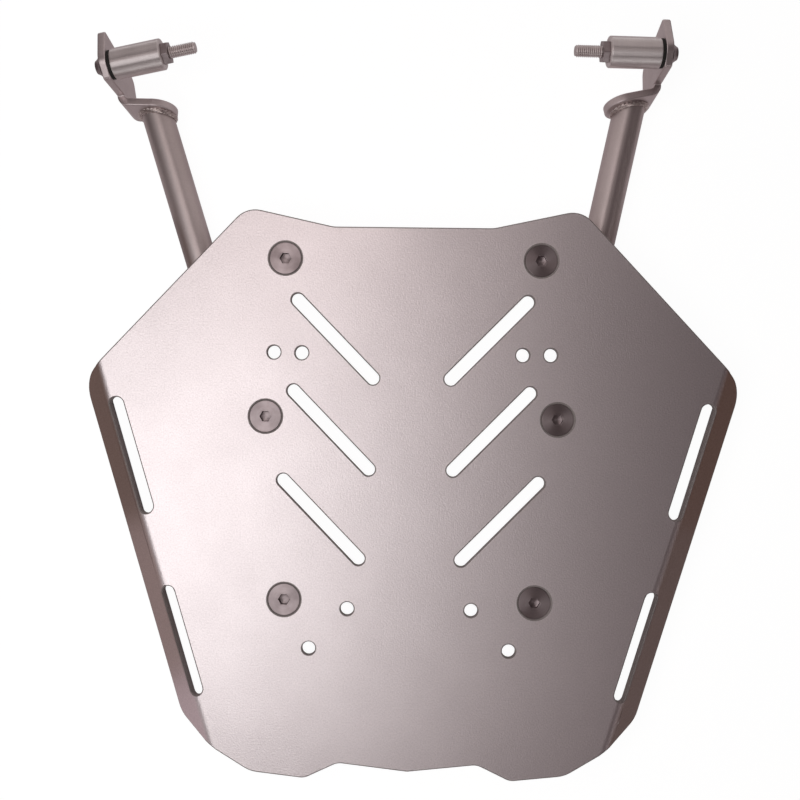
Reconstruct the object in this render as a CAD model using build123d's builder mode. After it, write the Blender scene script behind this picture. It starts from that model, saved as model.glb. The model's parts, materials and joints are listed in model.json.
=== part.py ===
from build123d import *
import os
from math import cos, radians, sin, tan

# Motorcycle luggage rack, in millimetres. The origin is on the deck's top face, on its long axis.
# +Y points forward along the arms, +X to the rider's right, +Z up.

# Deck sheet: half outline to the right of the long axis
deck_thickness = 4.0
notch_edge_y = 134.5
notch_half_width = 40.3
notch_radius = 14.0
front_corner_x = 84.2
front_corner_y = 144.0
front_corner_radius = 13.0
bend_front_x = 158.4
bend_front_y = 64.9
bend_rear_x = 99.6
bend_rear_y = -127.5
shoulder_x = 79.0
shoulder_y = -140.0
shoulder_radius = 16.0
lobe_x = 51.6
lobe_y = -143.0
lobe_radius = 8.0
rear_notch_x = 35.0
rear_notch_y = -135.1
rear_notch_radius = 8.0
rear_centre_y = -139.0

# Side flanges, folded down along the bend lines
flange_angle = 40.0
flange_width = 14.6
flange_rear_taper = 38.0
flange_front_radius = 15.0
flange_rear_radius = 12.0
bend_inner_radius = 3.0

# Strap slots across each bend, front and rear: distance of the front end along the bend, overall
# length, inner edge inwards of the bend line and outer edge outwards of it
strap_slot_starts = (19.3, 118.0)
strap_slot_lengths = (60.8, 57.2)
strap_slot_insets = (6.7, 4.8)
strap_slot_reaches = (0.9, 2.0)

# Chevron strap slots: outer end centres on the right half
chevron_outer_ends = ((57.8, 97.5), (59.4, 51.7), (64.0, 6.7))
chevron_width = 6.5
chevron_run = 54.6
chevron_angle = 45.6

# Plain accessory holes on the right half
accessory_holes = ((69.5, 71.0), (55.5, 70.8), (31.1, -57.5), (50.2, -77.6))
accessory_hole_radius = 3.3

# Deck screws, M8 countersunk, on the right half: front, middle and rear
screw_places = ((64.3, 118.3), (73.4, 38.7), (62.9, -53.3))
screw_radius = 4.0
screw_head_radius = 8.0
screw_head_rim = 0.2
screw_head_depth = 0.2
screw_socket_flats = 5.0
screw_socket_depth = 2.6
screw_past_nut = 2.0
screw_hole_clearance = 0.5
screw_seat_clearance = 0.05
screw_tip_chamfer = 0.8

# Tabs welded on the arm tubes, with a weld nut below each
tab_thickness = 4.0
tab_half_width = 10.0
tab_corner_radius = 3.0
tab_foot_ys = (90.0, 38.9, -53.2)
nut_flats = 13.0
nut_height = 6.5
nut_chamfer = 0.8
thread_clearance = 0.05
tab_weld_radius = 1.8
tab_weld_length = 16.0
tab_weld_offset = 5.2
tab_weld_drop = 1.0

# Arm tubes: front end point on the axis and splay from the long axis, for each side
tube_radius = 8.0
tube_wall = 2.0
tube_bend_radius = 50.0
rail_nut_clearance = 1.5
rail_rear_y = -66.0
left_tube_front_x = 132.9
left_tube_front_y = 192.5
left_tube_splay = 17.5
right_tube_front_x = 109.6
right_tube_front_y = 198.0
right_tube_splay = 11.9

# Plug in the rear end of each tube
plug_cap_thickness = 2.0
plug_cap_edge = 0.8
plug_body_length = 12.0
plug_clearance = 0.05

# End brackets, folded from sheet: a tongue across the tube end and an ear that carries the bolt.
# The ear leans outwards at its top, the tongue forwards. Places on the ear are given along it from
# the fold (ahead) and along the fold line (rise), from the height of the tube's axis.
bracket_thickness = 4.0
bracket_inner_radius = 2.0
bracket_plan_angle = 102.0
ear_cant = 6.0
tongue_lean = 12.0
tongue_radius = 11.2
tongue_reach = 15.5
tongue_lift = -0.4
fold_top_rise = 12.0
fold_foot_rise = -8.0
ear_bolt_ahead = 13.0
ear_bolt_rise = 28.3
ear_crown_height = 8.0
ear_rear_height = 1.7
ear_tip_ahead = 30.0
ear_tip_rise = 32.8
ear_foot_ahead = 22.0
ear_foot_rise = -5.0
ear_crown_radius = 7.0
ear_rear_radius = 2.0
ear_tip_radius = 2.0
ear_foot_radius = 6.0
left_ear_toe = 10.4
left_tube_seat = 16.3
right_ear_toe = -0.6
right_tube_seat = 13.9
bracket_weld_radius = 1.9

# Bracket hardware, M6
bolt_radius = 3.0
bolt_head_radius = 6.5
bolt_head_height = 3.3
bolt_head_flat_radius = 3.2
bolt_socket_flats = 4.0
bolt_socket_depth = 2.0
bolt_free_thread = 13.3
bolt_pitch_radius = 2.7
bolt_tip_chamfer = 0.6
bolt_hole_clearance = 0.3
washer_radius = 7.2
washer_thickness = 1.7
spacer_radius = 7.7
spacer_length = 25.4
spacer_chamfer = 0.4
stud_nut_flats = 10.0
stud_nut_height = 3.5
stud_nut_chamfer = 0.5

# Heights that follow from the stack under the deck
tab_top_z = -deck_thickness
tab_bottom_z = tab_top_z - tab_thickness
tube_axis_z = tab_bottom_z - tube_radius
nut_bottom_z = tab_bottom_z - nut_height
screw_top_z = -screw_head_depth
screw_tip_z = nut_bottom_z - screw_past_nut
screw_hole_radius = screw_radius + screw_hole_clearance
screw_sink_radius = screw_head_radius + screw_head_depth + screw_head_rim
tube_bore_radius = tube_radius - tube_wall

# The straight rails of the arms run just outside the widest pair of weld nuts
nut_corner_radius = nut_flats / 2 / cos(radians(30))
widest_screw_x = max(x for x, y in screw_places)
rail_half_spacing = widest_screw_x + nut_corner_radius + rail_nut_clearance + tube_radius

# Lengths along the bolt, from the ear's outer face inwards
washer_start = bracket_thickness
spacer_start = washer_start + washer_thickness
stud_nut_start = spacer_start + spacer_length
stud_start = stud_nut_start + stud_nut_height
bolt_end = stud_start + bolt_free_thread

os.makedirs("parts", exist_ok=True)


def export_piece(builder, label):
    builder.part.label = label
    export_step(builder.part, f"parts/{label}.step")


def both_sides(places):
    return [(sign * x, y) for sign in (-1, 1) for x, y in places]


# Right-hand bend line of the deck: its front point, its direction rearwards and the way outwards
bend_front = Vector(bend_front_x, bend_front_y)
bend_rear = Vector(bend_rear_x, bend_rear_y)
bend_length = (bend_rear - bend_front).length
bend_along = (bend_rear - bend_front).normalized()
bend_out = Vector(-bend_along.Y, bend_along.X)
flange_out = bend_out * cos(radians(flange_angle)) - Vector(0, 0, sin(radians(flange_angle)))
bend_outer_radius = bend_inner_radius + deck_thickness
bend_setback = bend_outer_radius * tan(radians(flange_angle / 2))
front_cut = bend_front - Vector(front_corner_x, front_corner_y)
rear_cut = bend_rear - Vector(shoulder_x, shoulder_y)
front_cut_slope = front_cut.dot(bend_along) / front_cut.dot(bend_out)
rear_cut_slope = rear_cut.dot(bend_along) / rear_cut.dot(bend_out)
flange_front_slope = front_cut_slope * cos(radians(flange_angle))
flange_rear_slope = 1 / tan(radians(flange_rear_taper))


def on_bend(along, out):
    return bend_front + bend_along * along + bend_out * out


flat_front = on_bend(-front_cut_slope * bend_setback, -bend_setback)
flat_rear = on_bend(bend_length - rear_cut_slope * bend_setback, -bend_setback)
setback_plan = bend_setback * cos(radians(flange_angle))
fold_front = on_bend(flange_front_slope * bend_setback, setback_plan)
fold_rear = on_bend(bend_length - flange_rear_slope * bend_setback, setback_plan)

# The curved strip between deck and flange, trimmed to the sheet's outline as seen from above
with BuildPart() as side_bend:
    bend_centre = bend_front - bend_out * bend_setback - Vector(0, 0, bend_outer_radius)
    section_plane = Plane(origin=bend_centre, x_dir=bend_out, z_dir=bend_along)
    with BuildSketch(section_plane):
        with BuildLine():
            outer = CenterArc((0, 0), bend_outer_radius, 90, -flange_angle)
            inner = CenterArc((0, 0), bend_inner_radius, 90, -flange_angle)
            Line(outer @ 0, inner @ 0)
            Line(outer @ 1, inner @ 1)
        make_face()
    extrude(amount=bend_length, both=True)
    with BuildSketch(Plane.XY):
        with BuildLine():
            Polyline(flat_front, fold_front, fold_rear, flat_rear, close=True)
        make_face()
    extrude(amount=bend_setback + deck_thickness + flange_width, both=True, mode=Mode.INTERSECT)

# Deck: the right half with its flange, slots and holes, then mirrored about the long axis
with BuildPart() as deck_plate:
    with BuildSketch(Plane.XY):
        with BuildLine():
            FilletPolyline(
                (0, notch_edge_y),
                (notch_half_width, notch_edge_y),
                (front_corner_x, front_corner_y),
                flat_front,
                flat_rear,
                (shoulder_x, shoulder_y),
                (lobe_x, lobe_y),
                (rear_notch_x, rear_notch_y),
                (0, rear_centre_y),
                radius=(0, notch_radius, front_corner_radius, 0, 0,
                        shoulder_radius, lobe_radius, rear_notch_radius, 0),
                close=True,
            )
        make_face()
    extrude(amount=-deck_thickness)
    add(side_bend.part)
    flange_plane = Plane(origin=bend_front, x_dir=bend_along, z_dir=bend_along.cross(flange_out))
    with BuildSketch(flange_plane):
        with BuildLine():
            FilletPolyline(
                (flange_front_slope * bend_setback, bend_setback),
                (flange_front_slope * flange_width, flange_width),
                (bend_length - flange_rear_slope * flange_width, flange_width),
                (bend_length - flange_rear_slope * bend_setback, bend_setback),
                radius=(0, flange_front_radius, flange_rear_radius, 0),
                close=True,
            )
        make_face()
    extrude(amount=-deck_thickness)
    # Strap slots across the bend: upright inner wall, outer wall square to the middle of the bend
    strap_slots = zip(strap_slot_starts, strap_slot_lengths, strap_slot_insets, strap_slot_reaches)
    for slot_start, slot_length, slot_in, slot_reach in strap_slots:
        for level in (deck_thickness, -2 * deck_thickness):
            slot_out = slot_reach + level * tan(radians(flange_angle / 2))
            slot_middle = on_bend(slot_start + slot_length / 2, (slot_out - slot_in) / 2)
            slot_origin = slot_middle + Vector(0, 0, level)
            with BuildSketch(Plane(origin=slot_origin, x_dir=bend_along, z_dir=(0, 0, 1))):
                SlotOverall(slot_length, slot_out + slot_in)
        loft(mode=Mode.SUBTRACT)
    # Chevron slots run inwards and to the rear from their outer ends
    with BuildSketch(Plane.XY):
        half_run = Vector(chevron_run / 2, 0).rotate(Axis.Z, chevron_angle)
        with Locations(*[Vector(*end) - half_run for end in chevron_outer_ends]):
            SlotCenterToCenter(chevron_run, chevron_width, rotation=chevron_angle)
    extrude(amount=-deck_thickness, mode=Mode.SUBTRACT)
    with Locations(*accessory_holes):
        Hole(accessory_hole_radius)
    with Locations(*screw_places):
        CounterSinkHole(screw_hole_radius, screw_sink_radius)
    mirror(about=Plane.YZ)
export_piece(deck_plate, "deck_plate")

# Countersunk screws, flush just below the deck's top face
with BuildPart() as deck_screws:
    head_radius = screw_head_radius - screw_seat_clearance
    cone_height = head_radius - screw_radius
    all_screws = both_sides(screw_places)
    with BuildSketch(Plane.XY.offset(screw_top_z)):
        with Locations(*all_screws):
            Circle(head_radius)
    extrude(amount=-screw_head_rim)
    with Locations(*[(x, y, screw_top_z - screw_head_rim) for x, y in all_screws]):
        Cone(screw_radius, head_radius, cone_height, align=(Align.CENTER, Align.CENTER, Align.MAX))
    with BuildSketch(Plane.XY.offset(screw_tip_z)):
        with Locations(*all_screws):
            Circle(screw_radius)
    extrude(amount=screw_top_z - screw_head_rim - cone_height - screw_tip_z)
    chamfer(deck_screws.edges().group_by(Axis.Z)[0], screw_tip_chamfer)
    with BuildSketch(Plane.XY.offset(screw_top_z)):
        with Locations(*all_screws):
            RegularPolygon(screw_socket_flats / 2, 6, major_radius=False)
    extrude(amount=-screw_socket_depth, mode=Mode.SUBTRACT)
export_piece(deck_screws, "deck_screws")

# Weld nuts on the underside of the tabs
with BuildPart() as tab_nuts:
    with BuildSketch(Plane.XY.offset(tab_bottom_z)):
        with Locations(*both_sides(screw_places)):
            RegularPolygon(nut_flats / 2, 6, major_radius=False)
            Circle(screw_radius + thread_clearance, mode=Mode.SUBTRACT)
    extrude(amount=-nut_height)
    bottom_faces = tab_nuts.faces().group_by(Axis.Z)[0]
    chamfer([face.inner_wires()[0].edges()[0] for face in bottom_faces], nut_chamfer)
export_piece(tab_nuts, "tab_nuts")


class Side:
    # One arm: where its tube runs and how its end bracket stands
    def __init__(self, name, sign, front_x, front_y, splay, toe, tube_seat):
        self.name = name
        self.sign = sign
        self.front = Vector(sign * front_x, front_y, tube_axis_z)
        self.splay_slope = tan(radians(splay))
        self.splayed = Vector(sign * sin(radians(splay)), cos(radians(splay)), 0)
        self.knee_y = front_y - (front_x - rail_half_spacing) / self.splay_slope
        self.knee = Vector(sign * rail_half_spacing, self.knee_y, tube_axis_z)
        self.rear = Vector(sign * rail_half_spacing, rail_rear_y, tube_axis_z)
        # Level directions of the bracket
        up = Vector(0, 0, 1)
        forward = Vector(sign * sin(radians(toe)), cos(radians(toe)), 0)
        outward = Vector(sign * cos(radians(toe)), -sin(radians(toe)), 0)
        plan_angle = radians(bracket_plan_angle)
        tongue_level = forward * cos(plan_angle) - outward * sin(plan_angle)
        level_front = forward * sin(plan_angle) + outward * cos(plan_angle)
        # Square to the ear, along the bolt, and square to the tongue
        self.inward = up * sin(radians(ear_cant)) - outward * cos(radians(ear_cant))
        self.tongue_front = level_front * cos(radians(tongue_lean)) - up * sin(radians(tongue_lean))
        # The fold line is where the two leaves meet
        self.rise = self.tongue_front.cross(self.inward).normalized() * sign
        self.ahead = (forward - self.rise * forward.dot(self.rise)).normalized()
        self.tongue = (tongue_level - self.rise * tongue_level.dot(self.rise)).normalized()
        self.fold = self.front - tongue_level * tube_seat
        self.fold_turn = 180 - self.ahead.get_angle(self.tongue)
        self.bolt = self.fold + self.ahead * ear_bolt_ahead + self.rise * ear_bolt_rise

    def tube_point(self, y, z):
        reach = max(y - self.knee_y, 0) * self.splay_slope
        return Vector(self.sign * (rail_half_spacing + reach), y, z)

    def tube_direction(self, y):
        return self.splayed if y > self.knee_y else Vector(0, 1, 0)

    def bolt_plane(self, distance):
        return Plane(origin=self.bolt + self.inward * distance, x_dir=self.ahead, z_dir=self.inward)


def build_arm_tube(side):
    # The tube runs past its front end and is cut off along the tongue's rear face
    with BuildPart() as arm_tube:
        with BuildLine() as route:
            FilletPolyline(
                side.front + side.splayed * 2 * tube_radius,
                side.knee,
                side.rear,
                radius=tube_bend_radius,
            )
        with BuildSketch(Plane(origin=route.line @ 0, z_dir=route.line % 0)):
            Circle(tube_radius)
            Circle(tube_bore_radius, mode=Mode.SUBTRACT)
        sweep()
        split(bisect_by=Plane(origin=side.front, z_dir=side.tongue_front), keep=Keep.BOTTOM)
    export_piece(arm_tube, f"{side.name}_arm_tube")
    return arm_tube.part


def build_tab(side, position, place, foot_y):
    # Flat bar with a round end at the screw, laid across the top of the tube at its foot
    screw = Vector(side.sign * place[0], place[1], tab_top_z)
    foot = side.tube_point(foot_y, tab_top_z)
    length = (foot - screw).length + tube_radius
    with BuildPart() as tab:
        with BuildSketch(Plane(origin=screw, x_dir=foot - screw, z_dir=(0, 0, 1))):
            with BuildLine():
                near_side = (0, tab_half_width)
                far_side = (0, -tab_half_width)
                ThreePointArc(near_side, (-tab_half_width, 0), far_side)
                FilletPolyline(
                    near_side,
                    (length, tab_half_width),
                    (length, -tab_half_width),
                    far_side,
                    radius=tab_corner_radius,
                )
            make_face()
            Circle(screw_hole_radius, mode=Mode.SUBTRACT)
        extrude(amount=-tab_thickness)
    export_piece(tab, f"{side.name}_{position}_tab")


def build_tab_welds(side, arm_tube):
    # A bead on each side of every tab, in the corner between the tab and the tube
    with BuildPart() as tab_welds:
        for foot_y in tab_foot_ys:
            along = side.tube_direction(foot_y)
            across = along.cross(Vector(0, 0, 1))
            crest = side.tube_point(foot_y, tab_bottom_z - tab_weld_drop)
            for offset in (-tab_weld_offset, tab_weld_offset):
                with BuildSketch(Plane(origin=crest + across * offset, z_dir=along)):
                    Circle(tab_weld_radius)
                extrude(amount=tab_weld_length / 2, both=True)
        split(bisect_by=Plane.XY.offset(tab_bottom_z), keep=Keep.BOTTOM)
        add(arm_tube, mode=Mode.SUBTRACT)
    export_piece(tab_welds, f"{side.name}_tab_welds")


def build_tube_plug(side):
    with BuildPart() as tube_plug:
        with BuildSketch(Plane(origin=side.rear, z_dir=(0, -1, 0))):
            Circle(tube_radius)
        extrude(amount=plug_cap_thickness)
        chamfer(tube_plug.edges().group_by(Axis.Y)[0], plug_cap_edge)
        with BuildSketch(Plane(origin=side.rear, z_dir=(0, 1, 0))):
            Circle(tube_bore_radius - plug_clearance)
        extrude(amount=plug_body_length)
    export_piece(tube_plug, f"{side.name}_tube_plug")


def build_end_bracket(side):
    outer_radius = bracket_inner_radius + bracket_thickness
    setback = outer_radius * tan(radians(side.fold_turn / 2))
    inward_growth = -side.sign * bracket_thickness
    ear_plane = Plane(origin=side.fold, x_dir=side.ahead, z_dir=side.ahead.cross(side.rise))
    tongue_plane = Plane(origin=side.fold, x_dir=side.tongue, z_dir=side.tongue.cross(side.rise))
    with BuildPart() as end_bracket:
        # Ear: rises beside the fold to the bolt, with a pointed front
        with BuildSketch(ear_plane):
            with BuildLine():
                FilletPolyline(
                    (setback, fold_foot_rise),
                    (ear_foot_ahead, ear_foot_rise),
                    (ear_tip_ahead, ear_tip_rise),
                    (ear_bolt_ahead, ear_bolt_rise + ear_crown_height),
                    (setback, ear_bolt_rise + ear_rear_height),
                    radius=(0, ear_foot_radius, ear_tip_radius, ear_crown_radius, ear_rear_radius),
                    close=True,
                )
            make_face()
            with Locations((ear_bolt_ahead, ear_bolt_rise)):
                Circle(bolt_radius + bolt_hole_clearance, mode=Mode.SUBTRACT)
        extrude(amount=inward_growth)
        # Tongue: round end over the tube
        with BuildSketch(tongue_plane):
            with BuildLine():
                top = (tongue_reach, tongue_lift + tongue_radius)
                end = (tongue_reach + tongue_radius, tongue_lift)
                bottom = (tongue_reach, tongue_lift - tongue_radius)
                ThreePointArc(top, end, bottom)
                Polyline(bottom, (setback, fold_foot_rise), (setback, fold_top_rise), top)
            make_face()
        extrude(amount=-inward_growth)
        # Fold between the two leaves
        fold_foot = side.fold + side.rise * fold_foot_rise
        with BuildSketch(Plane(origin=fold_foot, x_dir=side.ahead, z_dir=side.rise)):
            with BuildLine():
                centre = (setback, side.sign * outer_radius)
                start_angle = -side.sign * 90
                turn = -side.sign * side.fold_turn
                outer = CenterArc(centre, outer_radius, start_angle, turn)
                inner = CenterArc(centre, bracket_inner_radius, start_angle, turn)
                Line(outer @ 0, inner @ 0)
                Line(outer @ 1, inner @ 1)
            make_face()
        extrude(amount=fold_top_rise - fold_foot_rise)
    export_piece(end_bracket, f"{side.name}_end_bracket")


def build_bracket_weld(side):
    # Round bead on the tongue's rear face, midway between the long and short radius of the
    # ellipse that the tube's slanted end makes there
    slant = side.splayed.dot(side.tongue_front)
    seam_radius = (tube_radius + tube_radius / slant) / 2
    section_plane = Plane(origin=side.front, x_dir=side.tongue, z_dir=side.rise)
    with BuildPart() as bracket_weld:
        with BuildSketch(section_plane):
            with Locations((seam_radius, 0)):
                Circle(bracket_weld_radius)
        revolve(axis=Axis(side.front, side.tongue_front))
        split(bisect_by=Plane(origin=side.front, z_dir=side.tongue_front), keep=Keep.BOTTOM)
        with BuildSketch(Plane(origin=side.front, z_dir=side.splayed)):
            Circle(tube_radius)
        extrude(amount=2 * tube_radius, both=True, mode=Mode.SUBTRACT)
    export_piece(bracket_weld, f"{side.name}_bracket_weld")


def build_bolt(side):
    # Button head on the ear's outer face, shank through the spacer, then the thread. Inside the
    # nut it stands at its pitch radius, where the two threads bear on each other
    with BuildPart() as bolt:
        with BuildSketch(Plane(origin=side.bolt, x_dir=side.ahead, z_dir=side.ahead.cross(side.inward))):
            with BuildLine():
                crown = (bolt_head_flat_radius, -bolt_head_height)
                rim = (bolt_head_radius, 0)
                Polyline(
                    crown,
                    (0, -bolt_head_height),
                    (0, bolt_end),
                    (bolt_radius, bolt_end),
                    (bolt_radius, stud_start),
                    (bolt_pitch_radius, stud_start),
                    (bolt_pitch_radius, stud_nut_start),
                    (bolt_radius, stud_nut_start),
                    (bolt_radius, 0),
                    rim,
                )
                RadiusArc(rim, crown, -bolt_head_radius)
            make_face()
        revolve(axis=Axis(side.bolt, side.inward))
        with BuildSketch(side.bolt_plane(-bolt_head_height)):
            RegularPolygon(bolt_socket_flats / 2, 6, major_radius=False)
        extrude(amount=bolt_socket_depth, mode=Mode.SUBTRACT)
        tip = bolt.edges().sort_by(Axis(side.bolt, side.inward))[-1]
        chamfer(tip, bolt_tip_chamfer)
    export_piece(bolt, f"{side.name}_bolt")


def build_washer(side):
    with BuildPart() as washer:
        with BuildSketch(side.bolt_plane(washer_start)):
            Circle(washer_radius)
            Circle(bolt_radius + bolt_hole_clearance, mode=Mode.SUBTRACT)
        extrude(amount=washer_thickness)
    export_piece(washer, f"{side.name}_washer")


def build_spacer(side):
    with BuildPart() as spacer:
        with BuildSketch(side.bolt_plane(spacer_start)):
            Circle(spacer_radius)
            Circle(bolt_radius + bolt_hole_clearance, mode=Mode.SUBTRACT)
        extrude(amount=spacer_length)
        rims = spacer.edges().filter_by(GeomType.CIRCLE).sort_by(SortBy.RADIUS)[-2:]
        chamfer(rims, spacer_chamfer)
    export_piece(spacer, f"{side.name}_spacer")


def build_stud_nut(side):
    with BuildPart() as stud_nut:
        with BuildSketch(side.bolt_plane(stud_nut_start)):
            RegularPolygon(stud_nut_flats / 2, 6, major_radius=False)
            Circle(bolt_pitch_radius + thread_clearance, mode=Mode.SUBTRACT)
        extrude(amount=stud_nut_height)
        bores = stud_nut.edges().filter_by(GeomType.CIRCLE)
        chamfer(bores, stud_nut_chamfer)
    export_piece(stud_nut, f"{side.name}_nut")


sides = (
    Side("left", -1, left_tube_front_x, left_tube_front_y, left_tube_splay, left_ear_toe,
         left_tube_seat),
    Side("right", 1, right_tube_front_x, right_tube_front_y, right_tube_splay, right_ear_toe,
         right_tube_seat),
)
for side in sides:
    tube = build_arm_tube(side)
    for position, place, foot_y in zip(("front", "middle", "rear"), screw_places, tab_foot_ys):
        build_tab(side, position, place, foot_y)
    build_tab_welds(side, tube)
    build_tube_plug(side)
    build_end_bracket(side)
    build_bracket_weld(side)
    build_bolt(side)
    build_washer(side)
    build_spacer(side)
    build_stud_nut(side)
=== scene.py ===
import json
import math

import bmesh
import bpy
from mathutils import Matrix, Vector


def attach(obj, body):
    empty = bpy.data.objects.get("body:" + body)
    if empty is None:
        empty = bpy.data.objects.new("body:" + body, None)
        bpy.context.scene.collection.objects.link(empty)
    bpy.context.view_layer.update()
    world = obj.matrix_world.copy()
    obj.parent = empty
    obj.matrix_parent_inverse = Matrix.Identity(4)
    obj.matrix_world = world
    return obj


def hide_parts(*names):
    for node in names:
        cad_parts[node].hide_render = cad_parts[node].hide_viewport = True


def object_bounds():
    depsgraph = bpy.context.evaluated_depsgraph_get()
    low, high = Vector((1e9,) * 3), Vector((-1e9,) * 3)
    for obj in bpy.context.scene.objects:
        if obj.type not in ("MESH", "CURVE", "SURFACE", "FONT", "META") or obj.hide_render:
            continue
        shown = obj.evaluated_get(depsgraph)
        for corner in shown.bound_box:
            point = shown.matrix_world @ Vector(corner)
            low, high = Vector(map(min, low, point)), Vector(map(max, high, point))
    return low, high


# Motorcycle luggage rack: finishes, softened edges, weld ripples and bolt threads on the fixed frame
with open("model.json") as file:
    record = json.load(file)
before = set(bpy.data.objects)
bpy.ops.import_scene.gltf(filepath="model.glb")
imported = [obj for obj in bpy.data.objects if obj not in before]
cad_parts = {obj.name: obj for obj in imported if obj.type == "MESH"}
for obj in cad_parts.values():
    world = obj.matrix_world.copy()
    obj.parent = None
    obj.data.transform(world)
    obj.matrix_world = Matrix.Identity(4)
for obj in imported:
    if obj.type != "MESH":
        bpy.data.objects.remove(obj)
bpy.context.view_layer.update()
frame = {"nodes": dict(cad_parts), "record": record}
mounts = {mount["name"]: mount for mount in frame["record"]["mounts"]}
mm = 0.001
up = Vector((0, 0, 1))
sides = ("left", "right")
print("frame loaded, nodes:", len(frame["nodes"]))


# Small helpers for colours, nodes and materials
def linear(hexColour):
    parts = [int(hexColour[at:at + 2], 16) / 255 for at in (0, 2, 4)]
    return [p / 12.92 if p <= 0.04045 else ((p + 0.055) / 1.055) ** 2.4 for p in parts] + [1.0]


def perMetre(sizeInMm):
    return 1 / (sizeInMm * mm)


def addNode(tree, kind, settings, links=None):
    node = tree.nodes.new(kind)
    for name, value in settings.items():
        if isinstance(name, str) and hasattr(node, name):
            setattr(node, name, value)
        else:
            node.inputs[name].default_value = value
    for name, source in (links or {}).items():
        tree.links.new(source, node.inputs[name])
    return node


def newMaterial(name, settings):
    material = bpy.data.materials.new(name)
    material.use_nodes = True
    shader = material.node_tree.nodes["Principled BSDF"]
    for socket, value in settings.items():
        shader.inputs[socket].default_value = value
    return material, material.node_tree, shader


# The tone pattern drives colour and roughness together, and the height pattern the bump
def finishMetal(tree, shader, look, tone, height, bumpSettings):
    colour = addNode(tree, "ShaderNodeMix",
                     {"data_type": "RGBA", 6: linear(look["dull"]), 7: linear(look["clean"])}, {0: tone})
    rough = addNode(tree, "ShaderNodeMapRange",
                    {"To Min": look["roughness"][1], "To Max": look["roughness"][0]}, {"Value": tone})
    bump = addNode(tree, "ShaderNodeBump", bumpSettings, {"Height": height})
    tree.links.new(colour.outputs[2], shader.inputs["Base Color"])
    tree.links.new(rough.outputs["Result"], shader.inputs["Roughness"])
    tree.links.new(bump.outputs["Normal"], shader.inputs["Normal"])


# A blasted or satin metal skin: fine pits in the bump, soft clouds in colour and roughness.
# Noise keeps near its middle, so the two tones lie only this far to either side of it
blastedSpread = 0.22


def blastedMetal(name, look):
    material, tree, shader = newMaterial(name, {"Metallic": 1.0})
    place = addNode(tree, "ShaderNodeTexCoord", {}).outputs["Object"]
    grain = addNode(tree, "ShaderNodeTexNoise",
                    {"Scale": perMetre(look["grainMm"]), "Detail": 2.0, "Roughness": 0.6},
                    {"Vector": place}).outputs["Fac"]
    cloud = addNode(tree, "ShaderNodeTexNoise",
                    {"Scale": perMetre(look["cloudMm"]), "Detail": 3.0, "Roughness": 0.55},
                    {"Vector": place}).outputs["Fac"]
    clouded = addNode(tree, "ShaderNodeMath", {"operation": "MULTIPLY", 1: look["cloudShare"]}, {0: cloud})
    mixed = addNode(tree, "ShaderNodeMath", {"operation": "MULTIPLY_ADD", 1: look["grainShare"]},
                    {0: grain, 2: clouded.outputs[0]})
    middle = 0.5 * (look["cloudShare"] + look["grainShare"])
    tone = addNode(tree, "ShaderNodeMapRange",
                   {"From Min": middle - blastedSpread, "From Max": middle + blastedSpread},
                   {"Value": mixed.outputs[0]})
    finishMetal(tree, shader, look, tone.outputs["Result"], grain,
                {"Strength": look["grainStrength"], "Distance": look["grainDepthMm"] * mm})
    return material


# A turned metal skin: tool lines run round the axis kept in the mesh's "turned" places, and its
# "groove" directions, a quarter turn from the highlight, spread the light across them.
# Real lines are near 0.1 mm, so they are drawn wider
turnedTones = {"least": 0.65, "most": 1.35}
quarterTurn = 0.25


def turnedMetal(name, look):
    material, tree, shader = newMaterial(name, {"Metallic": 1.0, "Anisotropic": look["anisotropy"],
                                                "Anisotropic Rotation": quarterTurn})
    place = addNode(tree, "ShaderNodeTexCoord", {}).outputs["Object"]
    turned = addNode(tree, "ShaderNodeAttribute", {"attribute_name": "turned"}).outputs["Vector"]
    groove = addNode(tree, "ShaderNodeAttribute", {"attribute_name": "groove"}).outputs["Vector"]
    along = addNode(tree, "ShaderNodeSeparateXYZ", {}, {"Vector": turned}).outputs["Z"]
    across = addNode(tree, "ShaderNodeVectorMath", {"operation": "MULTIPLY", 1: (1, 1, 0)}, {0: turned})
    radius = addNode(tree, "ShaderNodeVectorMath", {"operation": "LENGTH"}, {0: across.outputs["Vector"]})
    lines = [addNode(tree, "ShaderNodeTexNoise",
                     {"noise_dimensions": "1D", "Scale": perMetre(look["lineMm"]), "Detail": 2.0},
                     {"W": source}).outputs["Fac"] for source in (along, radius.outputs["Value"])]
    both = addNode(tree, "ShaderNodeMath", {"operation": "ADD"}, {0: lines[0], 1: lines[1]}).outputs[0]
    cloud = addNode(tree, "ShaderNodeTexNoise",
                    {"Scale": perMetre(look["cloudMm"]), "Detail": 3.0}, {"Vector": place}).outputs["Fac"]
    mixed = addNode(tree, "ShaderNodeMath", {"operation": "MULTIPLY_ADD", 1: 0.5}, {0: both, 2: cloud})
    tone = addNode(tree, "ShaderNodeMapRange",
                   {"From Min": turnedTones["least"], "From Max": turnedTones["most"]},
                   {"Value": mixed.outputs[0]})
    finishMetal(tree, shader, look, tone.outputs["Result"], both,
                {"Strength": look["lineStrength"], "Distance": look["lineDepthMm"] * mm})
    tree.links.new(groove, shader.inputs["Tangent"])
    return material


# Small helpers for meshes
cleanup = {"mergeMm": 0.002, "flatAngle": 0.2, "normalWeight": 80}


def mergedCopy(nodeName):
    bm = bmesh.new()
    bm.from_mesh(frame["nodes"][nodeName].data)
    for layerName in ("turned", "groove"):
        bm.verts.layers.float_vector.new(layerName)
    bmesh.ops.remove_doubles(bm, verts=bm.verts, dist=cleanup["mergeMm"] * mm)
    flat = math.radians(cleanup["flatAngle"])
    bmesh.ops.dissolve_limit(bm, angle_limit=flat, verts=bm.verts, edges=bm.edges)
    return bm


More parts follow.
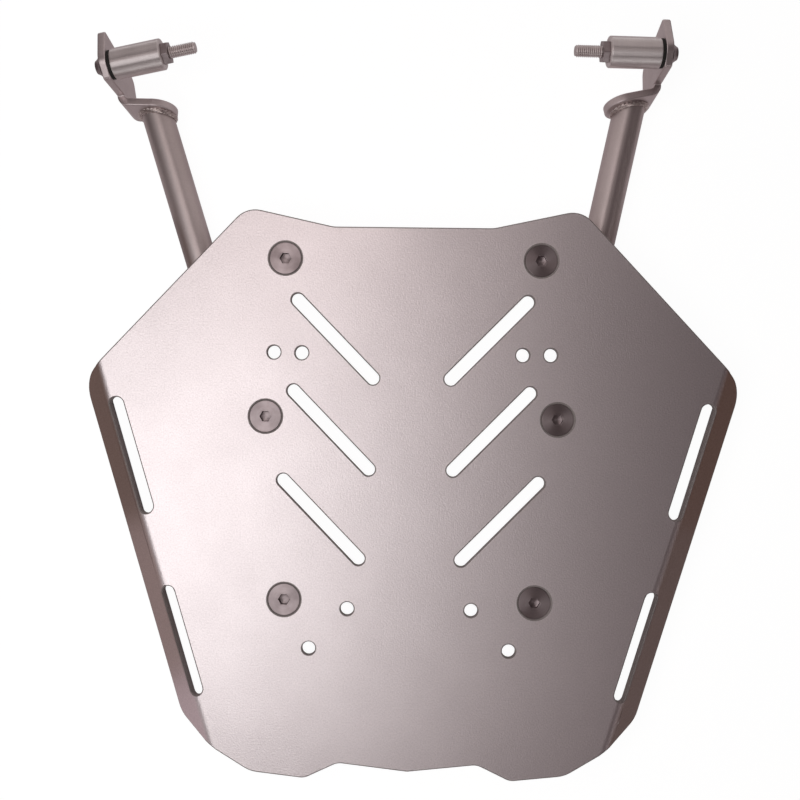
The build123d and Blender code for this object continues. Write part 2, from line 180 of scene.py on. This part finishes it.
# Edges may be shorter than the round is wide, so the bevel isn't clamped to them
def softenEdges(bm, edges):
    limit = math.radians(edges["sharpAngle"])
    sharp = [e for e in bm.edges if e.is_manifold and e.calc_face_angle() > limit]
    return bmesh.ops.bevel(bm, geom=sharp, affect="EDGES", offset=edges["roundMm"] * mm,
                           segments=edges["steps"], profile=0.5, material=-1, clamp_overlap=False)["faces"]


def cutOff(bm, place, facing):
    geom = bm.verts[:] + bm.edges[:] + bm.faces[:]
    cut = bmesh.ops.bisect_plane(bm, geom=geom, plane_co=place, plane_no=facing, clear_outer=True)
    rim = [e for e in cut["geom_cut"] if isinstance(e, bmesh.types.BMEdge)]
    bmesh.ops.edgeloop_fill(bm, edges=rim)


def raiseEdges(bm, edges, step):
    raised = bmesh.ops.extrude_edge_only(bm, edges=edges)["geom"]
    bmesh.ops.translate(bm, verts=[v for v in raised if isinstance(v, bmesh.types.BMVert)], vec=step)


def boxMiddle(places):
    return Vector([(min(p[at] for p in places) + max(p[at] for p in places)) / 2 for at in range(3)])


def solidIslands(bm):
    waiting = set(bm.verts)
    while waiting:
        island, border = [], [waiting.pop()]
        while border:
            vert = border.pop()
            island.append(vert)
            near = [e.other_vert(vert) for e in vert.link_edges]
            fresh = [v for v in near if v in waiting]
            waiting.difference_update(fresh)
            border.extend(fresh)
        yield island


def markTurning(bm, verts, origin, axis):
    turned = bm.verts.layers.float_vector["turned"]
    groove = bm.verts.layers.float_vector["groove"]
    upright = axis.rotation_difference(up)
    for vert in verts:
        arm = vert.co - origin
        vert[turned] = upright @ arm
        vert[groove] = axis.cross(arm) / mm


def placePiece(bm, name, materials, slotName, *nodeNames):
    mesh = bpy.data.meshes.new(name)
    bm.to_mesh(mesh)
    bm.free()
    mesh.polygons.foreach_set("use_smooth", [True] * len(mesh.polygons))
    for material in materials:
        mesh.materials.append(material)
    piece = bpy.data.objects.new(name, mesh)
    bpy.context.scene.collection.objects.link(piece)
    weighted = piece.modifiers.new("faceNormals", "WEIGHTED_NORMAL")
    weighted.weight = cleanup["normalWeight"]
    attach(piece, "root")
    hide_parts(*nodeNames)


# A piece that needs only its edges softened, and its turning axis marked where it has one
def dressPiece(nodeName, name, material, slotName, edges, turning=None):
    bm = mergedCopy(nodeName)
    softenEdges(bm, edges)
    if turning:
        markTurning(bm, bm.verts, *turning)
    placePiece(bm, name, [material], slotName, nodeName)


# Aluminium sheet, bead-blasted: a bright warm silver with an even satin and a fine sparkle of pits.
# Real pits are near 0.1 mm and too fine to show, so the grain is drawn about a pixel wide
deckLook = {"clean": "efe6e7", "dull": "dfd6d7", "roughness": (0.355, 0.395),
            "grainMm": 0.8, "grainDepthMm": 0.09, "grainStrength": 0.9, "grainShare": 1.0,
            "cloudMm": 34.0, "cloudShare": 0.35}
deckEdges = {"roundMm": 0.6, "steps": 3, "sharpAngle": 28, "wallSlope": 0.7}
deckSkin = blastedMetal("aluminiumSheetBeadBlasted", deckLook)

# Aluminium edge, laser cut and deburred: dull from the cut, and darker than the sheet as painted shade,
# which draws a dark line round every slot, hole and border
edgeLookPaintedShade = {"clean": "b8b1af", "dull": "a49d9b", "roughness": (0.75, 0.85),
            "grainMm": 0.9, "grainDepthMm": 0.05, "grainStrength": 0.4, "grainShare": 0.6,
            "cloudMm": 6.0, "cloudShare": 0.4}
edgeSkinPaintedShade = blastedMetal("aluminiumEdgeDullPaintedShade", edgeLookPaintedShade)

# The solid leaves a small notch at the rear end of each bend. The real border runs straight on there,
# so the bend's end is drawn out along the bend line. The places are the notch's corner and lip and the
# border's end, in mm on the right half
bendEnd = {"corner": (97.16, -126.76), "lip": (99.17, -127.37), "border": (96.33, -129.48),
           "reachMm": 0.05}


def closeBendEnds(bm):
    corner, lip, border = [Vector(bendEnd[key]) * mm for key in ("corner", "lip", "border")]
    line = lip - corner
    reach = bendEnd["reachMm"] * mm
    for vert in bm.verts:
        place = Vector((abs(vert.co.x), vert.co.y)) - corner
        share = min(max(place.dot(line) / line.length_squared, 0), 1)
        if (place - line * share).length < reach:
            shift = (border - corner) * (1 - share)
            vert.co.x += shift.x if vert.co.x > 0 else -shift.x
            vert.co.y += shift.y
    bmesh.ops.remove_doubles(bm, verts=bm.verts, dist=reach)


bm = mergedCopy("deck_plate")
closeBendEnds(bm)
cutFaces = set(softenEdges(bm, deckEdges))
# Walls and the rounded edges take the edge skin, so its painted shade lines every slot, hole and border
for face in bm.faces:
    isWall = abs(face.normal.z) < deckEdges["wallSlope"]
    face.material_index = 1 if isWall or face in cutFaces else 0
placePiece(bm, "deckSheet", [deckSkin, edgeSkinPaintedShade], "deck_sheet", "deck_plate")
print("deck dressed")

# Stainless tube, satin: smooth and darker than the deck, with long soft bands of light
armLook = {"clean": "cabebd", "dull": "bcb0ae", "roughness": (0.41, 0.46),
           "grainMm": 0.9, "grainDepthMm": 0.02, "grainStrength": 0.15, "grainShare": 0.4,
           "cloudMm": 22.0, "cloudShare": 0.6}
armEdges = {"roundMm": 0.3, "steps": 2, "sharpAngle": 28}
armSkin = blastedMetal("stainlessTubeSatin", armLook)
for side in sides:
    dressPiece(f"{side}_arm_tube", f"{side}Arm", armSkin, "arm_steel", armEdges)
    for place in ("front", "middle", "rear"):
        pieceName = f"{side}{place.capitalize()}Tab"
        dressPiece(f"{side}_{place}_tab", pieceName, armSkin, "arm_steel", armEdges)

# Stainless sheet, laser cut, folded and blasted: a dull even grey-brown
bracketLook = {"clean": "cdc2c2", "dull": "bbafaf", "roughness": (0.38, 0.44),
               "grainMm": 0.9, "grainDepthMm": 0.03, "grainStrength": 0.2, "grainShare": 0.4,
               "cloudMm": 12.0, "cloudShare": 0.6}
bracketEdges = {"roundMm": 0.7, "steps": 3, "sharpAngle": 28}
bracketSkin = blastedMetal("stainlessSheetFoldedBlasted", bracketLook)
for side in sides:
    dressPiece(f"{side}_end_bracket", f"{side}Bracket", bracketSkin, "bracket_steel", bracketEdges)
print("arms, tabs and brackets dressed")

# Stainless weld metal, laid by hand in overlapping drops: bright crests and dark valleys
weldLook = {"clean": "e2d8d4", "dull": "9c8d8c", "roughness": (0.13, 0.22),
            "grainMm": 1.2, "grainDepthMm": 0.05, "grainStrength": 0.2, "grainShare": 0.3,
            "cloudMm": 2.2, "cloudShare": 0.7}
weldRipple = {"dropMm": 2.3, "heightMm": 0.45, "level": 0.55, "crestPower": 0.6, "crescentMm": 0.8,
              "cuts": 2, "beadShare": 0.85, "seatMm": 0.01}
weldSkin = blastedMetal("stainlessWeldRippled", weldLook)


# The bead's widest flat face lies on the tongue, so it gives the ring's axis and middle
def rippleBead(bm):
    seat = max(bm.faces, key=lambda f: f.calc_area())
    axis = seat.normal.copy()
    foot = seat.verts[0].co.copy()
    nearSeat = weldRipple["seatMm"] * mm
    ring = [v.co.copy() for v in bm.verts if abs((v.co - foot).dot(axis)) < nearSeat]
    centre = boxMiddle(ring)
    reach = [(c - centre).length for c in ring]
    seam = (min(reach) + max(reach)) / 2
    bmesh.ops.subdivide_edges(bm, edges=bm.edges, cuts=weldRipple["cuts"], use_grid_fill=True)
    bmesh.ops.triangulate(bm, faces=bm.faces)
    bm.normal_update()
    drops = round(2 * math.pi * seam / (weldRipple["dropMm"] * mm))
    upright = axis.rotation_difference(up)
    places = []
    for vert in bm.verts:
        local = upright @ (vert.co - centre)
        lag = abs(local.z) / (weldRipple["crescentMm"] * mm)
        phase = drops * math.atan2(local.y, local.x) / (2 * math.pi) + 0.5 * lag * lag
        crest = abs(math.cos(math.pi * phase)) ** weldRipple["crestPower"]
        spoke = vert.co - centre - axis * local.z
        onSeam = centre + spoke.normalized() * seam
        slim = onSeam + (vert.co - onSeam) * weldRipple["beadShare"]
        lift = (crest - weldRipple["level"]) * weldRipple["heightMm"] * mm
        places.append((vert, slim + vert.normal * lift))
    for vert, place in places:
        vert.co = place


for side in sides:
    bm = mergedCopy(f"{side}_bracket_weld")
    rippleBead(bm)
    placePiece(bm, f"{side}BracketWeld", [weldSkin], "weld_steel", f"{side}_bracket_weld")
    bm = mergedCopy(f"{side}_tab_welds")
    placePiece(bm, f"{side}TabWelds", [weldSkin], "weld_steel", f"{side}_tab_welds")
print("welds rippled")

# Stainless bar, turned on a lathe: fine rings round the axis draw the light into a band
spacerLook = {"clean": "e4dcdb", "dull": "d5cdcc", "roughness": (0.43, 0.47), "anisotropy": 0.95,
              "lineMm": 0.5, "lineDepthMm": 0.01, "lineStrength": 0.2, "cloudMm": 9.0}
turnedEdges = {"roundMm": 0.25, "steps": 2, "sharpAngle": 28}
spacerSkin = turnedMetal("stainlessBarTurned", spacerLook)

# Stainless fasteners, cold formed and turned: a plain grey, a little darker than the sheet
fastenerLook = {"clean": "a09495", "dull": "867a7b", "roughness": (0.30, 0.38), "anisotropy": 0.7,
                "lineMm": 0.6, "lineDepthMm": 0.012, "lineStrength": 0.3, "cloudMm": 5.0}
fastenerSkin = turnedMetal("stainlessFastenerTurned", fastenerLook)

# Stainless bolts, thread rolled: the squeezed crests are smoother than the bolt heads, and their lighter
# colour is painted light
threadLookPaintedLight = {"clean": "d6cccb", "dull": "b9aead", "roughness": (0.28, 0.36), "anisotropy": 0.6,
            "lineMm": 0.6, "lineDepthMm": 0.01, "lineStrength": 0.2, "cloudMm": 5.0}
threadSkinPaintedLight = turnedMetal("stainlessThreadPaintedLight", threadLookPaintedLight)
socketSettings = {"pointMm": 0.6, "corners": 6, "facing": 0.99}
threadSettings = {"pitchMm": 1.0, "rootMm": 2.42, "crestMm": 2.98, "flatMm": 0.12, "stepsPerTurn": 24,
                  "tipMm": 0.7, "tipBelowRootMm": 0.1, "intoNutMm": 0.4, "shankOverlapMm": 0.2}


# A drill point sinks the floor of each hex socket
def pointSockets(bm, axis):
    floors = [f for f in bm.faces if len(f.verts) == socketSettings["corners"]
              and f.normal.dot(axis) > socketSettings["facing"]]
    bmesh.ops.poke(bm, faces=floors, offset=-socketSettings["pointMm"] * mm)


# One thread profile is spun up the axis, cut off square at both ends and tapered at its tip
def cutThread(bm, start, axis, length):
    pitch = threadSettings["pitchMm"] * mm
    root = threadSettings["rootMm"] * mm
    crest = threadSettings["crestMm"] * mm
    flat = threadSettings["flatMm"] * mm
    tipRadius = root - threadSettings["tipBelowRootMm"] * mm
    tipSlope = (crest - root) / (threadSettings["tipMm"] * mm)
    steps = threadSettings["stepsPerTurn"]
    turns = math.ceil(length / pitch) + 2
    out = axis.orthogonal().normalized()
    foot = start - axis * pitch
    section = [(root, 0), (root, flat / 2), (crest, (pitch - flat) / 2), (crest, (pitch + flat) / 2),
               (root, pitch - flat / 2), (root, pitch)]
    verts = [bm.verts.new(foot + out * r + axis * z) for r, z in section]
    rails = [bm.edges.new(pair) for pair in zip(verts, verts[1:])]
    bmesh.ops.spin(bm, geom=verts + rails, cent=foot, axis=axis, dvec=axis * pitch / steps,
                   angle=2 * math.pi * turns, steps=steps * turns)
    bmesh.ops.remove_doubles(bm, verts=bm.verts, dist=cleanup["mergeMm"] * mm)
    cutOff(bm, start, -axis)
    cutOff(bm, start + axis * length, axis)
    for vert in bm.verts:
        height = (vert.co - start).dot(axis)
        spoke = vert.co - start - axis * height
        most = tipRadius + (length - height) * tipSlope
        if spoke.length > most:
            vert.co -= spoke * (1 - most / spoke.length)
    bmesh.ops.recalc_face_normals(bm, faces=bm.faces)


def joinBmesh(bm, other):
    mesh = bpy.data.meshes.new("joining")
    other.to_mesh(mesh)
    other.free()
    bm.from_mesh(mesh)
    bpy.data.meshes.remove(mesh)


# The shank runs a little way into the thread, and the head, outside the washer, takes the darker fastener
# grey as painted shade
for side in sides:
    stud = mounts[f"{side}_stud"]
    axis = Vector(stud["axis"]).normalized()
    wallMiddle = Vector(stud["pos_m"])
    wallLength = stud["dims"]["length_mm"] * mm
    start = wallMiddle - axis * (wallLength / 2 + threadSettings["intoNutMm"] * mm)
    tip = max((v.co - start).dot(axis) for v in frame["nodes"][f"{side}_bolt"].data.vertices)
    headEnd = min((v.co - start).dot(axis) for v in frame["nodes"][f"{side}_washer"].data.vertices)
    bm = mergedCopy(f"{side}_bolt")
    cutOff(bm, start + axis * threadSettings["shankOverlapMm"] * mm, axis)
    pointSockets(bm, -axis)
    softenEdges(bm, turnedEdges)
    thread = bmesh.new()
    cutThread(thread, start, axis, tip)
    joinBmesh(bm, thread)
    markTurning(bm, bm.verts, start, axis)
    # The thread's lighter grey is painted light and the head's darker grey is painted shade, though both are
    # one steel
    for face in bm.faces:
        face.material_index = 1 if (face.calc_center_median() - start).dot(axis) < headEnd else 0
    placePiece(bm, f"{side}Bolt", [threadSkinPaintedLight, fastenerSkin], "bolt_steel", f"{side}_bolt")
    turning = (start, axis)
    dressPiece(f"{side}_spacer", f"{side}Spacer", spacerSkin, "spacer_steel", turnedEdges, turning)
    dressPiece(f"{side}_nut", f"{side}Nut", fastenerSkin, "bolt_steel", turnedEdges, turning)
print("bolts, spacers and nuts dressed")

# Each group holds six separate fasteners, and every one turns round its own axis
screwEdges = {"roundMm": 0.2, "steps": 2, "sharpAngle": 28}
screwGroups = (("deck_screws", "deckScrews", "screw_steel"), ("tab_nuts", "tabNuts", "nut_steel"))
for nodeName, pieceName, slotName in screwGroups:
    bm = mergedCopy(nodeName)
    pointSockets(bm, up)
    softenEdges(bm, screwEdges)
    for island in solidIslands(bm):
        markTurning(bm, island, boxMiddle([v.co for v in island]), up)
    placePiece(bm, pieceName, [fastenerSkin], slotName, nodeName)
print("deck screws and weld nuts dressed")

# Rubber and nylon, moulded: nearly black and matt, with a faint grain
rubberLook = {"colour": "191817", "worn": "26231f", "roughness": 0.72, "grainMm": 0.8,
              "grainStrength": 0.2, "grainDepthMm": 0.03}
plugLook = {"colour": "1c1b1b", "worn": "2a2827", "roughness": 0.5, "grainMm": 0.7,
            "grainStrength": 0.2, "grainDepthMm": 0.03}


def mouldedBlack(name, look):
    material, tree, shader = newMaterial(name, {"Metallic": 0.0, "Roughness": look["roughness"], "IOR": 1.5})
    place = addNode(tree, "ShaderNodeTexCoord", {}).outputs["Object"]
    grain = addNode(tree, "ShaderNodeTexNoise",
                    {"Scale": perMetre(look["grainMm"]), "Detail": 3.0}, {"Vector": place}).outputs["Fac"]
    colour = addNode(tree, "ShaderNodeMix",
                     {"data_type": "RGBA", 6: linear(look["colour"]), 7: linear(look["worn"])}, {0: grain})
    bump = addNode(tree, "ShaderNodeBump",
                   {"Strength": look["grainStrength"], "Distance": look["grainDepthMm"] * mm},
                   {"Height": grain})
    tree.links.new(colour.outputs[2], shader.inputs["Base Color"])
    tree.links.new(bump.outputs["Normal"], shader.inputs["Normal"])
    return material


rubberSkin = mouldedBlack("rubberMoulded", rubberLook)
plugSkin = mouldedBlack("nylonMoulded", plugLook)
for side in sides:
    dressPiece(f"{side}_washer", f"{side}Washer", rubberSkin, "washer_rubber", turnedEdges)
    dressPiece(f"{side}_tube_plug", f"{side}TubePlug", plugSkin, "plug_plastic", turnedEdges)
print("washers and plugs dressed")

# Studio: a round white floor with a low white wall, lamps above and cards for the metal to mirror
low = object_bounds()[0]
studio = {"floorRadius": 2.6, "floorSides": 96, "wallHeight": 0.9, "drop": 0.001,
          "white": "f4f4f4", "roughness": 0.9, "ownShare": 0.85, "glow": 1.13}


# Paper, white and matt: seen or mirrored it mostly glows evenly, and the rest of it takes the shadow
def studioWhite():
    material, tree, shader = newMaterial("paperWhiteMatt", {"Base Color": linear(studio["white"]),
                                                            "Roughness": studio["roughness"]})
    rays = addNode(tree, "ShaderNodeLightPath", {}).outputs
    seen = addNode(tree, "ShaderNodeMath", {"operation": "ADD"},
                   {0: rays["Is Camera Ray"], 1: rays["Is Glossy Ray"]})
    shown = addNode(tree, "ShaderNodeMath", {"operation": "ADD"},
                    {0: seen.outputs[0], 1: rays["Is Transmission Ray"]})
    share = addNode(tree, "ShaderNodeMath",
                    {"operation": "MULTIPLY", 1: studio["ownShare"], "use_clamp": True},
                    {0: shown.outputs[0]})
    glow = addNode(tree, "ShaderNodeEmission", {"Strength": studio["glow"]})
    mixed = addNode(tree, "ShaderNodeMixShader", {},
                    {0: share.outputs[0], 1: shader.outputs[0], 2: glow.outputs[0]})
    tree.links.new(mixed.outputs[0], tree.nodes["Material Output"].inputs["Surface"])
    return material


bm = bmesh.new()
bmesh.ops.create_circle(bm, cap_ends=True, radius=studio["floorRadius"], segments=studio["floorSides"])
raiseEdges(bm, [e for e in bm.edges if e.is_boundary], (0, 0, studio["wallHeight"]))
bmesh.ops.translate(bm, verts=bm.verts, vec=(0, 0, low.z - studio["drop"]))
floorMesh = bpy.data.meshes.new("studioFloor")
bm.to_mesh(floorMesh)
bm.free()
floorMesh.materials.append(studioWhite())
floor = bpy.data.objects.new("studioFloor", floorMesh)
bpy.context.scene.collection.objects.link(floor)

# Cards that only the metal sees: low dark flags close beside the flanges, dark cards beside the arms,
# pale ones ahead and between the arms, grey walls all round, a dark one above on the right, and grey
# table tops below
flagRise = (0, 0, 0.06)
armCardRise = (0, 0, 0.12)
wallRise = (0, 0, 1.15)
wallAt = 2.3
wallFoot = 0.75
cards = {
    "leftFlag": {"from": (-0.215, 0.13, low.z), "to": (-0.183, -0.03, low.z),
                 "rise": flagRise, "colour": "66544c"},
    "leftRearFlag": {"from": (-0.183, -0.03, low.z), "to": (-0.166, -0.12, low.z),
                     "rise": flagRise, "colour": "8c7b77"},
    "leftTailFlag": {"from": (-0.166, -0.12, low.z), "to": (-0.146, -0.22, low.z),
                     "rise": flagRise, "colour": "b5a5a8"},
    "rightFlag": {"from": (0.215, 0.13, low.z), "to": (0.183, -0.03, low.z),
                  "rise": flagRise, "colour": "56443c"},
    "rightRearFlag": {"from": (0.183, -0.03, low.z), "to": (0.146, -0.22, low.z),
                      "rise": flagRise, "colour": "5b4d48"},
    "leftFarCard": {"from": (-0.26, 0.13, low.z), "to": (-0.26, 0.40, low.z),
                    "rise": armCardRise, "colour": "655d5d"},
    "rightFarCard": {"from": (0.26, 0.13, low.z), "to": (0.26, 0.40, low.z),
                     "rise": armCardRise, "colour": "5c5454"},
    "frontCard": {"from": (-0.40, 0.52, low.z), "to": (0.40, 0.52, low.z),
                  "rise": (0, 0, 0.70), "colour": "bdb5b4"},
    "innerCard": {"from": (-0.005, 0.15, low.z), "to": (-0.005, 0.42, low.z),
                  "rise": (0, 0, 0.24), "colour": "c4bcbb"},
    "leftWallCard": {"from": (-wallAt, -wallAt, wallFoot), "to": (-wallAt, wallAt, wallFoot),
                     "rise": wallRise, "colour": "b4acac"},
    "rightWallCard": {"from": (wallAt, -wallAt, wallFoot), "to": (wallAt, wallAt, wallFoot),
                      "rise": wallRise, "colour": "b4acac"},
    "frontWallCard": {"from": (-wallAt, wallAt, wallFoot), "to": (wallAt, wallAt, wallFoot),
                      "rise": wallRise, "colour": "b4acac"},
    "rearWallCard": {"from": (-wallAt, -wallAt, wallFoot), "to": (wallAt, -wallAt, wallFoot),
                     "rise": wallRise, "colour": "9f9797"},
    "rightTopCard": {"from": (0.30, -0.15, 0.75), "to": (0.30, 0.40, 0.75),
                     "rise": (0.35, 0, 0), "colour": "40393a"},
    "tableCard": {"from": (-0.26, -0.26, low.z), "to": (0.26, -0.26, low.z),
                  "rise": (0, 0.40, 0), "colour": "938a8b"},
    "frontTableCard": {"from": (-0.26, 0.14, low.z), "to": (0.26, 0.14, low.z),
                       "rise": (0, 0.22, 0), "colour": "b3aaab"},
}
for name, card in cards.items():
    bm = bmesh.new()
    edge = bm.edges.new([bm.verts.new(card[end]) for end in ("from", "to")])
    raiseEdges(bm, [edge], card["rise"])
    mesh = bpy.data.meshes.new(name)
    bm.to_mesh(mesh)
    bm.free()
    material, tree, shader = newMaterial(name + "Paper", {"Base Color": linear(card["colour"])})
    glow = addNode(tree, "ShaderNodeEmission", {"Color": linear(card["colour"]), "Strength": 1.0})
    tree.links.new(glow.outputs[0], tree.nodes["Material Output"].inputs["Surface"])
    mesh.materials.append(material)
    cardObject = bpy.data.objects.new(name, mesh)
    bpy.context.scene.collection.objects.link(cardObject)
    cardObject.visible_camera = False
    cardObject.visible_diffuse = False
    cardObject.visible_shadow = False

# Lamps face straight down. Radiance is what the metal mirrors, so power follows from it and the size
lamps = {
    "softboxLeft": {"centre": (-0.375, -0.115, 0.75), "size": (0.625, 0.540),
                    "radiance": 1.74, "colour": "ffffff"},
    "softboxFront": {"centre": (-0.132, 0.288, 0.665), "size": (0.271, 0.278),
                     "radiance": 1.45, "colour": "fff6f4"},
    "softboxRear": {"centre": (0.020, -0.290, 0.72), "size": (0.30, 0.16),
                    "radiance": 0.35, "colour": "fff4f2"},
    "stripAbove": {"centre": (-0.030, 0.004, 0.755), "size": (0.26, 0.03),
                   "radiance": 2.0, "colour": "fff6f4"},
}
for name, lamp in lamps.items():
    light = bpy.data.lights.new(name, "AREA")
    light.shape = "RECTANGLE"
    light.size, light.size_y = lamp["size"]
    light.energy = lamp["radiance"] * math.pi * lamp["size"][0] * lamp["size"][1]
    light.color = linear(lamp["colour"])[:3]
    lightObject = bpy.data.objects.new(name, light)
    lightObject.location = lamp["centre"]
    lightObject.visible_camera = False
    bpy.context.scene.collection.objects.link(lightObject)

# Dim warm room round the studio
room = {"colour": "4e4445", "strength": 1.0}
world = bpy.data.worlds.new("studioRoom")
bpy.context.scene.world = world
world.use_nodes = True
background = world.node_tree.nodes["Background"]
background.inputs["Color"].default_value = linear(room["colour"])
background.inputs["Strength"].default_value = room["strength"]

# Camera nearly straight above, as in the photograph: lengths in mm, angles in degrees
cameraSettings = {"aim": (-5.8, 47.7, 0.0), "distance": 600.0, "tilt": 0.8, "roll": 0.73,
                  "mmPerPixel": 0.502, "pixels": 800, "sensor": 36.0, "clipStart": 10.0}
cameraData = bpy.data.cameras.new("topCamera")
camera = bpy.data.objects.new("topCamera", cameraData)
bpy.context.scene.collection.objects.link(camera)
leaning = Matrix.Rotation(math.radians(cameraSettings["tilt"]), 3, "Y")
rolled = Matrix.Rotation(math.radians(cameraSettings["roll"]), 3, "Z")
camera.location = (Vector(cameraSettings["aim"]) + leaning @ Vector((0, 0, cameraSettings["distance"]))) * mm
camera.rotation_euler = (leaning @ rolled).to_euler()
cameraData.sensor_width = cameraSettings["sensor"]
viewWidth = cameraSettings["mmPerPixel"] * cameraSettings["pixels"]
cameraData.lens = cameraSettings["sensor"] * cameraSettings["distance"] / viewWidth
cameraData.clip_start = cameraSettings["clipStart"] * mm
bpy.context.scene.camera = camera
bpy.context.scene.view_settings.view_transform = "Standard"
print("studio and camera ready")
